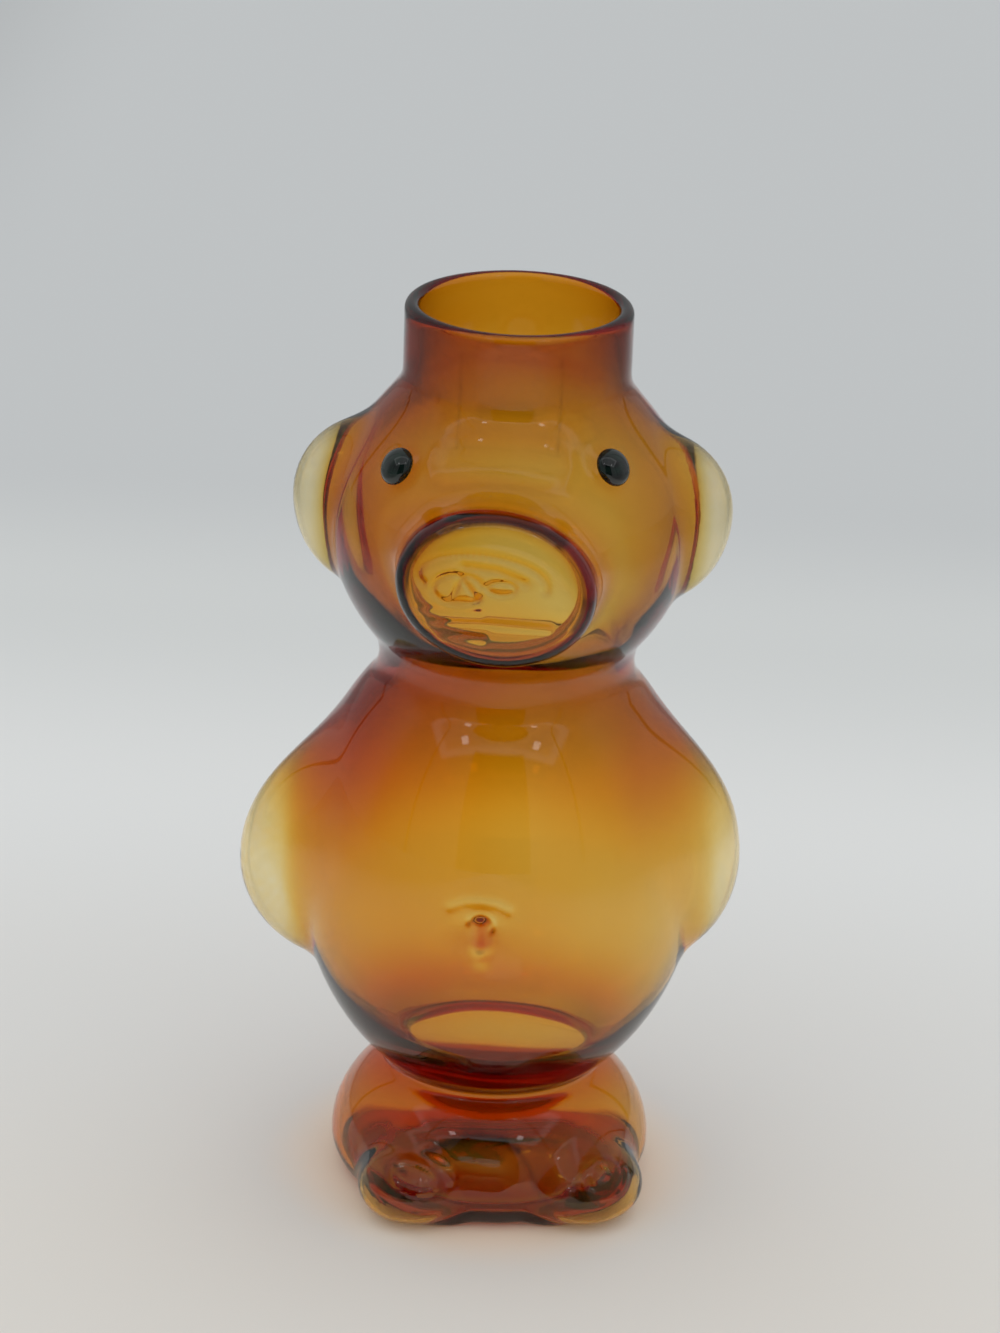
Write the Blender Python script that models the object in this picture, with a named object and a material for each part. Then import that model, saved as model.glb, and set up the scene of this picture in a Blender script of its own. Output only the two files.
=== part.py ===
"""A bear-shaped drinking glass of blown amber glass.

The vessel is a turned wall in four zones, fused end to end: squat base, torso, head and an open
neck. Hollow ears, arms, feet and a snout sit on it, each with its own thin wall, with two black
glass eyes and a drop of glass for the belly button. Metres, +Z up. The bear faces -Y, and the
origin is on the vessel's axis, at the height of the table that it stands on.
"""
from math import cos, hypot, pi, radians, sin, sqrt

import bmesh
import bpy
from mathutils import Matrix, Vector

MM = 0.001

# The fused seams: the gap that stands for the weld between two pieces
SEAM = 0.3 * MM

# Vessel, from the table up: the lengths of its four zones
BASE_LENGTH = 25.8 * MM
TORSO_LENGTH = 90.3 * MM
HEAD_LENGTH = 54.3 * MM
NECK_LENGTH = 19.6 * MM

# Vessel, outer radii. The inset is how far the floor's edge lies inside the base's widest ring
BASE_RADIUS = 33.4 * MM
FLOOR_INSET = 3.4 * MM
WAIST_RADIUS = 22.7 * MM
TORSO_RADIUS = 41.6 * MM
NAPE_RADIUS = 26.0 * MM
HEAD_RADIUS = 37.0 * MM
NECK_RADIUS = 22.7 * MM

# How high in its zone each bulge is widest
BASE_WIDEST_SHARE = 0.28
TORSO_WIDEST_SHARE = 0.49
HEAD_WIDEST_SHARE = 0.565

# How wide the two creases and the root of the neck are rounded
WAIST_ROUNDING = 4.2 * MM
NAPE_ROUNDING = 15.4 * MM
NECK_ROUNDING = 11.4 * MM

# Vessel, walls
BODY_WALL = 2.2 * MM
RIM_WALL = 2.9 * MM
FLOOR_WALL = 4.0 * MM
FLOOR_CROWN = 2.0 * MM
FLOOR_EDGE = 0.8 * MM
LOBE_WALL = 1.2 * MM

# Ears: how far the tip stands out of the head's widest ring, the size of the bulb, and its place
# above that ring
EAR_PROUD = 7.2 * MM
EAR_OUTWARD = 16.2 * MM
EAR_HALF_THICKNESS = 12.5 * MM
EAR_RISE = 17.0 * MM
EAR_FALL = 19.0 * MM
EAR_LIFT = 2.2 * MM

# Arms, which differ a little, as hand-drawn glass does. Proud and drop are from the torso's widest ring
ARM_HALF_THICKNESS = 17.0 * MM
ARM_LEFT_PROUD = 12.3 * MM
ARM_LEFT_OUTWARD = 23.9 * MM
ARM_LEFT_RISE = 29.5 * MM
ARM_LEFT_FALL = 22.0 * MM
ARM_LEFT_DROP = 2.5 * MM
ARM_RIGHT_PROUD = 8.0 * MM
ARM_RIGHT_OUTWARD = 19.6 * MM
ARM_RIGHT_RISE = 27.5 * MM
ARM_RIGHT_FALL = 23.0 * MM
ARM_RIGHT_DROP = -3.0 * MM

# Snout: a round bubble on the head's front. Proud and drop are from the head's widest ring
SNOUT_PROUD = 13.0 * MM
SNOUT_OUTWARD = 14.0 * MM
SNOUT_HALF_WIDTH = 19.6 * MM
SNOUT_HALF_HEIGHT = 15.2 * MM
SNOUT_DROP = 4.5 * MM

# Feet: two lobes at the base's front, flat underneath. Proud is from the base's widest ring, and
# turn is from straight ahead
FOOT_PROUD = 5.4 * MM
FOOT_OUTWARD = 14.3 * MM
FOOT_HALF_WIDTH = 15.0 * MM
FOOT_HEIGHT = 12.0 * MM
FOOT_MIDDLE = 3.0 * MM
FOOT_LEFT_TURN = radians(-23.0)
FOOT_RIGHT_TURN = radians(42.0)

# Eyes: melted beads on the head's upper front. Lift is from the head's widest ring
EYE_SPREAD = 21.0 * MM
EYE_LIFT = 16.8 * MM
EYE_HALF_WIDTH = 3.3 * MM
EYE_HALF_HEIGHT = 3.7 * MM
EYE_DOME = 2.4 * MM

# Belly button: a low drop of glass with a pinched nub. Lift is from the torso's widest ring
BUTTON_LIFT = 2.9 * MM
BUTTON_RADIUS = 5.0 * MM
BUTTON_DOME = 1.3 * MM
BUTTON_ROOT = 2.0 * MM
NUB_RADIUS = 1.4 * MM
NUB_LENGTH = 1.8 * MM

# Outlines of the small forms: rings of the floor's crown and the drop as shares of their radius,
# and rings of the nub as shares of its quarter turn
CROWN_SHARES = (0.9, 0.6, 0.3, 0.0)
DROP_SHARES = (0.85, 0.6, 0.4)
NUB_SHARES = (0.0, 0.35, 0.7)

# Facets
TURNED_SIDES = 48
STEPS_PER_HALF = 5
NECK_STEPS = 3
RIM_STEPS = 4
BULB_SIDES = 24
BULB_RINGS = 14
SMALL_SIDES = 16
SMALL_RINGS = 8
SHARP_ANGLE = radians(40.0)
SLOPE_STEP_SHARE = 0.01
JOIN_SHARE = 0.001

# Colours
AMBER = (0.62, 0.25, 0.03)
PALE_AMBER = (0.80, 0.52, 0.20)
BLACK = (0.006, 0.008, 0.009)
POLISHED = 0.03
CLEAR = 1.0
OPAQUE = 0.0
GLASS_IOR = 1.5

# Heights of the creases, the widest rings and the rim, and the floor's radius
WAIST_HEIGHT = BASE_LENGTH
NAPE_HEIGHT = WAIST_HEIGHT + TORSO_LENGTH
NECK_HEIGHT = NAPE_HEIGHT + HEAD_LENGTH
RIM_HEIGHT = NECK_HEIGHT + NECK_LENGTH
BASE_WIDEST = BASE_LENGTH * BASE_WIDEST_SHARE
TORSO_WIDEST = WAIST_HEIGHT + TORSO_LENGTH * TORSO_WIDEST_SHARE
HEAD_WIDEST = NAPE_HEIGHT + HEAD_LENGTH * HEAD_WIDEST_SHARE
FLOOR_RADIUS = BASE_RADIUS - FLOOR_INSET

LEFT = -1
RIGHT = 1


def clear_scene():
    """Remove every object that the file holds."""
    for thing in list(bpy.data.objects):
        bpy.data.objects.remove(thing, do_unlink=True)


def glass(name, colour, clearness):
    """Glass of one colour, clear or opaque."""
    material = bpy.data.materials.new(name)
    material.use_nodes = True
    shader = material.node_tree.nodes["Principled BSDF"]
    shader.inputs["Base Color"].default_value = (*colour, 1.0)
    shader.inputs["Roughness"].default_value = POLISHED
    shader.inputs["Transmission Weight"].default_value = clearness
    shader.inputs["IOR"].default_value = GLASS_IOR
    material.diffuse_color = (*colour, 1.0)
    return material


def smooth_maximum(first, second, rounding):
    """The greater of two radii, with the notch where they cross filled by a round of this width."""
    near = max(rounding - abs(first - second), 0.0)
    return max(first, second) + near * near / (4.0 * rounding)


def bulge_radius(height, widest, radius, reach):
    """Radius of an oval bulge at a height. It would close at its reach from its widest ring."""
    left_over = 1.0 - ((height - widest) / reach) ** 2
    return radius * sqrt(max(left_over, 0.0))


def bulge_reach(widest, radius, crossing, crossing_radius):
    """The reach that takes a bulge through a radius at the height where it meets its neighbour."""
    return abs(crossing - widest) / sqrt(1.0 - (crossing_radius / radius) ** 2)


def body_radius(height):
    """Outer radius of the vessel at a height above the table."""
    waist = WAIST_RADIUS - WAIST_ROUNDING / 4.0
    nape = NAPE_RADIUS - NAPE_ROUNDING / 4.0
    bulges = []
    for widest, radius, below, below_radius, above, above_radius in (
        (BASE_WIDEST, BASE_RADIUS, 0.0, FLOOR_RADIUS, WAIST_HEIGHT, waist),
        (TORSO_WIDEST, TORSO_RADIUS, WAIST_HEIGHT, waist, NAPE_HEIGHT, nape),
        (HEAD_WIDEST, HEAD_RADIUS, NAPE_HEIGHT, nape, NECK_HEIGHT, NECK_RADIUS),
    ):
        crossing, crossing_radius = (below, below_radius) if height < widest else (above, above_radius)
        reach = bulge_reach(widest, radius, crossing, crossing_radius)
        bulges.append(bulge_radius(height, widest, radius, reach))
    neck = NECK_RADIUS if height > HEAD_WIDEST else 0.0
    radius = smooth_maximum(bulges[0], bulges[1], WAIST_ROUNDING)
    radius = smooth_maximum(radius, bulges[2], NAPE_ROUNDING)
    return smooth_maximum(radius, neck, NECK_ROUNDING) if neck else radius


def wall_direction(height):
    """The wall's outward normal at a height, as its radial and upward parts."""
    step = RIM_WALL * SLOPE_STEP_SHARE
    slope = (body_radius(height + step) - body_radius(height - step)) / (2.0 * step)
    length = hypot(1.0, slope)
    return 1.0 / length, -slope / length


def offset_point(height, distance):
    """Radius and height of the point that lies this far outside the wall's outer face."""
    radial, upward = wall_direction(height)
    return body_radius(height) + radial * distance, height + upward * distance


def bulge_heights(low, widest, high):
    """Heights of a bulge's rings, closer together towards its creases."""
    shares = [step / STEPS_PER_HALF for step in range(STEPS_PER_HALF + 1)]
    rising = [low + (widest - low) * (1.0 - cos(share * pi / 2)) for share in shares]
    falling = [widest + (high - widest) * sin(share * pi / 2) for share in shares[1:]]
    return rising + falling


def base_heights():
    """Heights of the base's rings, from the floor's edge to the waist."""
    return bulge_heights(FLOOR_EDGE, BASE_WIDEST, WAIST_HEIGHT - SEAM / 2)


def torso_heights():
    """Heights of the torso's rings, from the waist to the nape."""
    return bulge_heights(WAIST_HEIGHT + SEAM / 2, TORSO_WIDEST, NAPE_HEIGHT - SEAM / 2)


def head_heights():
    """Heights of the head's rings, from the nape to the root of the neck."""
    return bulge_heights(NAPE_HEIGHT + SEAM / 2, HEAD_WIDEST, NECK_HEIGHT - SEAM / 2)


def neck_heights():
    """Heights of the neck's rings, from its root to just below the rim's round."""
    low = NECK_HEIGHT + SEAM / 2
    high = RIM_HEIGHT - RIM_WALL / 2
    return [low + (high - low) * step / NECK_STEPS for step in range(NECK_STEPS)]


def wall_at(height):
    """Thickness of the wall, which grows along the neck to the fire-polished rim."""
    share = min(max((height - NECK_HEIGHT) / NECK_LENGTH, 0.0), 1.0)
    return BODY_WALL + (RIM_WALL - BODY_WALL) * share


def outer_face(heights):
    """Radius and height of the wall's outer face, upwards."""
    return [(body_radius(height), height) for height in heights]


def inner_face(heights):
    """Radius and height of the wall's inner face, downwards."""
    return [offset_point(height, -wall_at(height)) for height in reversed(heights)]


def base_profile():
    """Under the floor, up the base's outside, down its inside and over the crowned floor."""
    heights = base_heights()
    inside = [point for point in inner_face(heights) if point[1] > FLOOR_WALL + FLOOR_EDGE]
    corner = inside[-1][0]
    floor = []
    for share in CROWN_SHARES:
        crown = FLOOR_CROWN * cos(share * pi / 2) ** 2
        floor.append((corner * share, FLOOR_WALL + crown))
    underside = [(0.0, 0.0), (FLOOR_RADIUS - FLOOR_EDGE, 0.0)]
    return underside + outer_face(heights) + inside + floor


def bulge_profile(heights):
    """A closed outline: up the outside of a turned wall and down its inside."""
    return outer_face(heights) + inner_face(heights)


def neck_profile():
    """A closed outline: up the neck's outside, over the rounded rim and down its inside."""
    heights = neck_heights()
    rim_round = RIM_WALL / 2
    rim_height = RIM_HEIGHT - rim_round
    rim_radius = body_radius(rim_height) - rim_round
    rim = []
    for step in range(RIM_STEPS + 1):
        angle = pi * step / RIM_STEPS
        rim.append((rim_radius + rim_round * cos(angle), rim_height + rim_round * sin(angle)))
    return outer_face(heights) + rim + inner_face(heights)


def seat_profile():
    """The vessel's outer face grown by the seam, as a solid that applied pieces are cut with."""
    heights = base_heights() + torso_heights() + head_heights() + neck_heights()
    grown = [offset_point(height, SEAM) for height in heights]
    edge = grown[0][0]
    return [(0.0, -SEAM), (edge, -SEAM)] + grown + [(grown[-1][0], RIM_HEIGHT), (0.0, RIM_HEIGHT)]


def new_object(name, mesh_builder, material=None):
    """Put a mesh into the scene as a named object, shaded smooth, with its faces pointing out."""
    bmesh.ops.recalc_face_normals(mesh_builder, faces=mesh_builder.faces)
    mesh = bpy.data.meshes.new(name)
    mesh_builder.to_mesh(mesh)
    mesh_builder.free()
    mesh.shade_smooth()
    mesh.set_sharp_from_angle(angle=SHARP_ANGLE)
    thing = bpy.data.objects.new(name, mesh)
    bpy.context.collection.objects.link(thing)
    if material:
        mesh.materials.append(material)
    return thing


def turn(name, profile, sides, material=None, place=None):
    """Spin a profile of radius and height into a solid. Its ends meet, unless they lie on the axis."""
    work = bmesh.new()
    points = [work.verts.new((radius, 0.0, height)) for radius, height in profile]
    edges = [work.edges.new(pair) for pair in zip(points, points[1:])]
    if profile[0][0] > 0.0:
        edges.append(work.edges.new((points[-1], points[0])))
    bmesh.ops.spin(
        work,
        geom=points + edges,
        cent=(0.0, 0.0, 0.0),
        axis=(0.0, 0.0, 1.0),
        angle=2 * pi,
        steps=sides,
        use_merge=True,
    )
    bmesh.ops.remove_doubles(work, verts=work.verts, dist=SEAM * JOIN_SHARE)
    if place:
        bmesh.ops.transform(work, matrix=place, verts=work.verts)
    return new_object(name, work, material)


def bulb(name, place, half_sizes, sides, rings, material=None, flat_at=None):
    """An egg-shaped solid. Half sizes are along x, along y, up and down, and flat_at is its underside."""
    across, along, rise, fall = half_sizes
    work = bmesh.new()
    bmesh.ops.create_uvsphere(work, u_segments=sides, v_segments=rings, radius=1.0)
    for point in work.verts:
        x, y, z = point.co
        point.co = place @ Vector((x * across, y * along, z * (rise if z > 0 else fall)))
        if flat_at is not None:
            point.co.z = max(point.co.z, flat_at)
    return new_object(name, work, material)


def use_as_cutter(thing):
    """Keep a solid out of the model: it only cuts."""
    thing.hide_render = True
    thing.display_type = "WIRE"
    return thing


def cut(thing, cutter):
    """Take the cutter's volume out of a piece."""
    modifier = thing.modifiers.new(f"less {cutter.name}", "BOOLEAN")
    modifier.operation = "DIFFERENCE"
    modifier.solver = "EXACT"
    modifier.object = cutter


def hollow_lobe(name, place, half_sizes, seat, material, floor=None):
    """A blown lobe: a thin egg-shaped wall, open where it sits on the vessel."""
    lobe = bulb(name, place, half_sizes, BULB_SIDES, BULB_RINGS, material, flat_at=floor)
    inner_sizes = [size - LOBE_WALL for size in half_sizes]
    inner_floor = None if floor is None else floor + LOBE_WALL
    hollow = bulb(f"{name}_hollow", place, inner_sizes, BULB_SIDES, BULB_RINGS, flat_at=inner_floor)
    cut(lobe, use_as_cutter(hollow))
    cut(lobe, seat)
    return lobe


def facing(angle):
    """Turn about the axis that takes straight ahead, -Y, by an angle towards the bear's +X side."""
    return Matrix.Rotation(angle, 4, "Z")


def make_vessel(material):
    """The drinking vessel itself, floor to rim: base, torso, head and neck, fused end to end."""
    turn("base", base_profile(), TURNED_SIDES, material)
    turn("torso", bulge_profile(torso_heights()), TURNED_SIDES, material)
    turn("head", bulge_profile(head_heights()), TURNED_SIDES, material)
    turn("neck", neck_profile(), TURNED_SIDES, material)


def make_seat():
    """The cutter that shapes the back of every applied piece to the vessel's wall."""
    return use_as_cutter(turn("seat", seat_profile(), TURNED_SIDES))


def make_ears(seat, material):
    """Two hollow ears, one at each side of the head."""
    sizes = (EAR_OUTWARD, EAR_HALF_THICKNESS, EAR_RISE, EAR_FALL)
    for name, side in (("ear_left", LEFT), ("ear_right", RIGHT)):
        middle = Vector((side * (HEAD_RADIUS + EAR_PROUD - EAR_OUTWARD), 0.0, HEAD_WIDEST + EAR_LIFT))
        hollow_lobe(name, Matrix.Translation(middle), sizes, seat, material)


def make_arms(seat, material):
    """Two hollow arms, one at each side of the torso."""
    for name, side, proud, outward, rise, fall, drop in (
        ("arm_left", LEFT, ARM_LEFT_PROUD, ARM_LEFT_OUTWARD, ARM_LEFT_RISE, ARM_LEFT_FALL, ARM_LEFT_DROP),
        ("arm_right", RIGHT, ARM_RIGHT_PROUD, ARM_RIGHT_OUTWARD, ARM_RIGHT_RISE, ARM_RIGHT_FALL, ARM_RIGHT_DROP),
    ):
        middle = Vector((side * (TORSO_RADIUS + proud - outward), 0.0, TORSO_WIDEST - drop))
        sizes = (outward, ARM_HALF_THICKNESS, rise, fall)
        hollow_lobe(name, Matrix.Translation(middle), sizes, seat, material)


def make_snout(seat, material):
    """The hollow bubble of the snout."""
    middle = Vector((0.0, SNOUT_OUTWARD - HEAD_RADIUS - SNOUT_PROUD, HEAD_WIDEST - SNOUT_DROP))
    sizes = (SNOUT_HALF_WIDTH, SNOUT_OUTWARD, SNOUT_HALF_HEIGHT, SNOUT_HALF_HEIGHT)
    hollow_lobe("snout", Matrix.Translation(middle), sizes, seat, material)


def make_feet(seat, material):
    """Two hollow feet, flat where they stand on the table."""
    middle = Vector((0.0, FOOT_OUTWARD - BASE_RADIUS - FOOT_PROUD, FOOT_MIDDLE))
    sizes = (FOOT_HALF_WIDTH, FOOT_OUTWARD, FOOT_HEIGHT - FOOT_MIDDLE, FOOT_HEIGHT)
    for name, angle in (("foot_left", FOOT_LEFT_TURN), ("foot_right", FOOT_RIGHT_TURN)):
        hollow_lobe(name, facing(angle) @ Matrix.Translation(middle), sizes, seat, material, floor=0.0)


def make_eyes(seat, material):
    """Two black beads, lying on the slope of the head above the snout."""
    height = HEAD_WIDEST + EYE_LIFT
    radius = body_radius(height)
    radial, upward = wall_direction(height)
    sizes = (EYE_HALF_WIDTH, EYE_DOME, EYE_HALF_HEIGHT, EYE_HALF_HEIGHT)
    for name, side in (("eye_left", LEFT), ("eye_right", RIGHT)):
        ahead = sqrt(radius ** 2 - EYE_SPREAD ** 2)
        across = side * EYE_SPREAD / radius
        forward = -ahead / radius
        outward = Vector((across * radial, forward * radial, upward))
        sideways = Vector((-forward, across, 0.0))
        uphill = sideways.cross(-outward)
        place = Matrix((sideways, -outward, uphill)).transposed().to_4x4()
        place.translation = Vector((side * EYE_SPREAD, -ahead, height))
        bead = bulb(name, place, sizes, SMALL_SIDES, SMALL_RINGS, material)
        cut(bead, seat)


def make_belly_button(seat, material):
    """A flat drop of glass with the nub that is left where it was pinched off."""
    height = TORSO_WIDEST + BUTTON_LIFT
    profile = [(0.0, -BUTTON_ROOT), (BUTTON_RADIUS, -BUTTON_ROOT), (BUTTON_RADIUS, 0.0)]
    for share in DROP_SHARES:
        profile.append((BUTTON_RADIUS * share, BUTTON_DOME * sqrt(1.0 - share ** 2)))
    for share in NUB_SHARES:
        angle = share * pi / 2
        profile.append((NUB_RADIUS * cos(angle), BUTTON_DOME + NUB_LENGTH * sin(angle)))
    profile.append((0.0, BUTTON_DOME + NUB_LENGTH))
    outward = Matrix.Rotation(pi / 2, 4, "X")
    place = Matrix.Translation(Vector((0.0, -body_radius(height), height))) @ outward
    button = turn("belly_button", profile, SMALL_SIDES, material, place)
    cut(button, seat)


def main():
    clear_scene()
    amber = glass("amber_glass", AMBER, CLEAR)
    pale_amber = glass("pale_amber_glass", PALE_AMBER, CLEAR)
    black = glass("black_glass", BLACK, OPAQUE)
    seat = make_seat()
    make_vessel(amber)
    make_snout(seat, pale_amber)
    make_ears(seat, pale_amber)
    make_arms(seat, pale_amber)
    make_feet(seat, pale_amber)
    make_belly_button(seat, amber)
    make_eyes(seat, black)


main()
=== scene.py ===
"""Studio scene of the bear-shaped drinking glass.

The glass is one fused, blown wall. Its outer face is a turned outline joined with the bulbs of the
ears, arms, snout and feet, and its inner face lies inside it by a thickness that changes from place
to place, so that thin lobes look pale and the thick base looks deep. Each face lies where a distance
is nil, and a grid of rings is spread over it. Shapes are in millimetres until they become a mesh or
a material, +Z is up and the bear faces -Y.
"""

import bmesh
import bpy
import numpy as np
from mathutils import Matrix, Vector


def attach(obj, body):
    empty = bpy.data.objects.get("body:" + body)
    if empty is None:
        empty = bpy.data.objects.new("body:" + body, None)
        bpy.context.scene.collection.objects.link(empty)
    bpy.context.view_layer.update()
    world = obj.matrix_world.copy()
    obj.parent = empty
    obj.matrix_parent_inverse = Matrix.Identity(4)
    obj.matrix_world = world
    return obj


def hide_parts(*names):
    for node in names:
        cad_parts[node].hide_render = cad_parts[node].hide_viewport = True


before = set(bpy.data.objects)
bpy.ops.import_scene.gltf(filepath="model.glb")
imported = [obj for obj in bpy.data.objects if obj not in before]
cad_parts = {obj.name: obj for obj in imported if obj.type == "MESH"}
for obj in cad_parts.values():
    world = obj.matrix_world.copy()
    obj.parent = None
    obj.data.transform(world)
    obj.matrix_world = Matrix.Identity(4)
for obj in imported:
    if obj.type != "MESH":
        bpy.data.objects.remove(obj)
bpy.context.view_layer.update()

MM = 0.001

# Turned outline: heights of the widest rings and creases, outer radii, and roundings at the creases
BASE_WIDEST = 7.2
WAIST = 25.8
TORSO_WIDEST = 70.05
NAPE = 116.1
HEAD_WIDEST = 146.8
NECK = 170.4
RIM = 190.0
FLOOR_RADIUS = 30.0
BASE_RADIUS = 33.4
WAIST_RADIUS = 22.7
TORSO_RADIUS = 41.6
NAPE_RADIUS = 26.0
HEAD_RADIUS = 37.0
NECK_RADIUS = 22.7
WAIST_ROUNDING = 4.2
NAPE_ROUNDING = 15.4
NECK_ROUNDING = 11.4

# Walls, as a height and the thickness there: the glass is thin where it was blown out most, and
# thick at the creases and the neck
RIM_WALL = 3.1
WALLS = (
    (0.0, 1.1), (7.2, 1.1), (14.0, 1.2), (20.0, 1.7), (25.0, 3.2), (28.5, 4.2), (33.0, 2.5), (40.0, 1.3),
    (48.0, 0.85), (57.0, 0.65), (66.0, 0.8), (76.0, 1.25), (86.0, 1.65), (96.0, 2.1), (106.0, 2.7),
    (116.1, 3.2), (124.0, 2.3), (134.0, 1.45), (146.8, 1.2), (158.0, 1.2), (166.0, 1.6), (172.0, 2.3),
    (180.0, 2.9), (190.0, RIM_WALL),
)
WALL_SOFTENING = 2.0

# Unevenness of the blown wall, as shares of its thickness: slow waves, thinner towards +X by a share
# for each millimetre, thicker at the sides of the head and chest than in their middles, thinner at
# the back of the nape, and none at the rim. A zone has a middle and a reach, and an edge has two ends
WAVE_SHARE = 0.03
WALL_LEAN = 0.008
HEAD_SIDES_SHARE = 0.45
HEAD_EDGES = ((122.0, 132.0), (164.0, 172.0))
CHEST_SIDES_SHARE = 0.4
CHEST_ZONE = (97.0, 12.0)
SIDES_RADIUS = 30.0
SIDES_MOST = 1.3
SIDES_EVEN = 0.4
NAPE_BACK_SHARE = 0.55
NAPE_BACK_ZONE = (118.0, 14.0)
NAPE_BACK_EDGE = (0.0, 18.0)
RIM_EDGE = (176.0, 187.0)

# Floor: its thickness, less in the middle, with a thick ring near its edge and a thin sole under the
# feet beyond the body. The underside is hollow, and both faces round up into the sides
FLOOR_WALL = 3.0
FLOOR_CROWN = -1.2
FLOOR_CROWN_RADIUS = 24.0
FLOOR_HOLLOW = 0.8
FLOOR_HOLLOW_RADII = (6.0, 26.0)
RING_WALL = 1.7
RING_RADIUS = 28.4
RING_WIDTH = 2.0
SOLE_WALL = 0.35
SOLE_WALL_RADII = (29.5, 32.5)
OUTER_FLOOR_ROUNDING = 2.0
INNER_FLOOR_ROUNDING = 2.5
SOLE_ROUNDING = 6.0
SOLE_ROUNDING_RADII = (31.0, 35.0)

# How far outside the body a lobe's wall is as thin as at its tip
LOBE_TIP_REACH = 6.0

# Eyes: their places, half width, height of dome and half height, and the low mound under each
EYES = {"eye_left": (-21.0, -23.5, 162.5), "eye_right": (20.4, -22.5, 164.5)}
EYE_SIZES = (3.5, 2.4, 3.85)
EYE_MOUND = 0.5
EYE_MOUND_REACH = 4.6
EYE_SIDES = 72
EYE_RINGS = 28
EYE_ANGLES = (-62.0, 88.0)
EYE_FOOT_SHARE = 0.6

# The grids of rings, and how they are spread over the faces
SIDES = 258
OUTER_ROWS = 200
INNER_ROWS = 166
RIM_ROWS = 7
POLE_RADIUS = 1.0
PROFILE_POINTS = 3000
COARSENESS = 3
COARSE_ROUNDS = 250
COARSE_CLOSING = 2
FINE_ROUNDS = 30
FINE_CLOSING = 3
START_OUT = 20.0
FURTHEST_IN = -8.0
APPROACH_ROUNDS = 50
APPROACH_SHARE = 0.8
EVENING_SHARE = 0.8
LONGEST_STEP = 3.0
LEAST_SLOPE2 = 0.05
TINY = 1e-9

# Where rows lie closer together: a height, a reach and how many more there are
CROWDING = ((WAIST, 5.0, 2.2), (NAPE, 9.0, 0.8), (HEAD_WIDEST, 18.0, 0.5), (3.0, 7.0, 2.2))


def smooth_step(value, low, high):
    """0 below low, 1 above high, and a smooth slope between them."""
    share = np.clip((value - low) / (high - low), 0.0, 1.0)
    return share * share * (3.0 - 2.0 * share)


def smooth_max(first, second, width):
    """The greater value, with the notch between the two filled."""
    near = np.maximum(width - np.abs(first - second), 0.0)
    return np.maximum(first, second) + near * near / (4.0 * width)


def smooth_min(first, second, width):
    """The lesser value, with the ridge between the two rounded."""
    return -smooth_max(-first, -second, width)


def hump(value, middle, reach):
    """1 at a middle, and less and less on both sides of it."""
    return np.exp(-(((value - middle) / reach) ** 2))


def bulge(height, widest, radius, crossing, crossing_radius):
    """Radius of an oval bulge that passes through a radius at the height of a crossing."""
    reach = np.abs(crossing - widest) / np.sqrt(1.0 - (crossing_radius / radius) ** 2)
    return radius * np.sqrt(np.maximum(1.0 - ((height - widest) / reach) ** 2, 0.0))


def outline(height):
    """Outer radius of the turned body at a height."""
    waist = WAIST_RADIUS - WAIST_ROUNDING / 4
    nape = NAPE_RADIUS - NAPE_ROUNDING / 4
    base = np.where(
        height < BASE_WIDEST,
        bulge(height, BASE_WIDEST, BASE_RADIUS, 0.0, FLOOR_RADIUS),
        bulge(height, BASE_WIDEST, BASE_RADIUS, WAIST, waist),
    )
    torso = np.where(
        height < TORSO_WIDEST,
        bulge(height, TORSO_WIDEST, TORSO_RADIUS, WAIST, waist),
        bulge(height, TORSO_WIDEST, TORSO_RADIUS, NAPE, nape),
    )
    head = np.where(
        height < HEAD_WIDEST,
        bulge(height, HEAD_WIDEST, HEAD_RADIUS, NAPE, nape),
        bulge(height, HEAD_WIDEST, HEAD_RADIUS, NECK, NECK_RADIUS),
    )
    radius = smooth_max(base, torso, WAIST_ROUNDING)
    radius = smooth_max(radius, head, NAPE_ROUNDING)
    return np.where(height > HEAD_WIDEST, smooth_max(radius, NECK_RADIUS, NECK_ROUNDING), radius)


def body_walls(heights):
    """Thickness of the turned wall at evenly spaced heights, without kinks."""
    walls = np.interp(heights, *zip(*WALLS))
    spread = WALL_SOFTENING / (heights[1] - heights[0])
    reach = int(3 * spread)
    weights = np.exp(-0.5 * (np.arange(-reach, reach + 1) / spread) ** 2)
    padded = np.pad(walls, reach, mode="edge")
    return np.convolve(padded, weights / weights.sum(), mode="valid")


def hollow_outline(heights, outer, walls):
    """Inner radius at each height: the edge of the space that stays a wall's thickness inside."""
    rise = heights[None, :] - heights[:, None]
    share = np.clip(1.0 - (rise / walls[None, :]) ** 2, 0.0, None)
    reach = outer[None, :] - walls[None, :] * np.sqrt(share)
    return np.where(np.abs(rise) < walls[None, :], reach, np.inf).min(1)


# Outline and walls as tables over the height, which run on a little past the floor and the rim
TABLE_ROWS = 2021
TABLE_MARGIN = 6.0
HEIGHTS = np.linspace(-TABLE_MARGIN, RIM + TABLE_MARGIN, TABLE_ROWS)
OUTER = outline(np.clip(HEIGHTS, 0.0, RIM))
BODY_WALLS = body_walls(HEIGHTS)
INNER = hollow_outline(HEIGHTS, OUTER, BODY_WALLS)


def turned_distance(points, radii):
    """Distance outside a turned face, near enough close to it."""
    height = points[:, 2]
    step = 0.1
    here = np.interp(height, HEIGHTS, radii)
    slope = (np.interp(height + step, HEIGHTS, radii) - np.interp(height - step, HEIGHTS, radii)) / (2 * step)
    return (np.hypot(points[:, 0], points[:, 1]) - here) / np.sqrt(1.0 + slope * slope)


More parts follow.
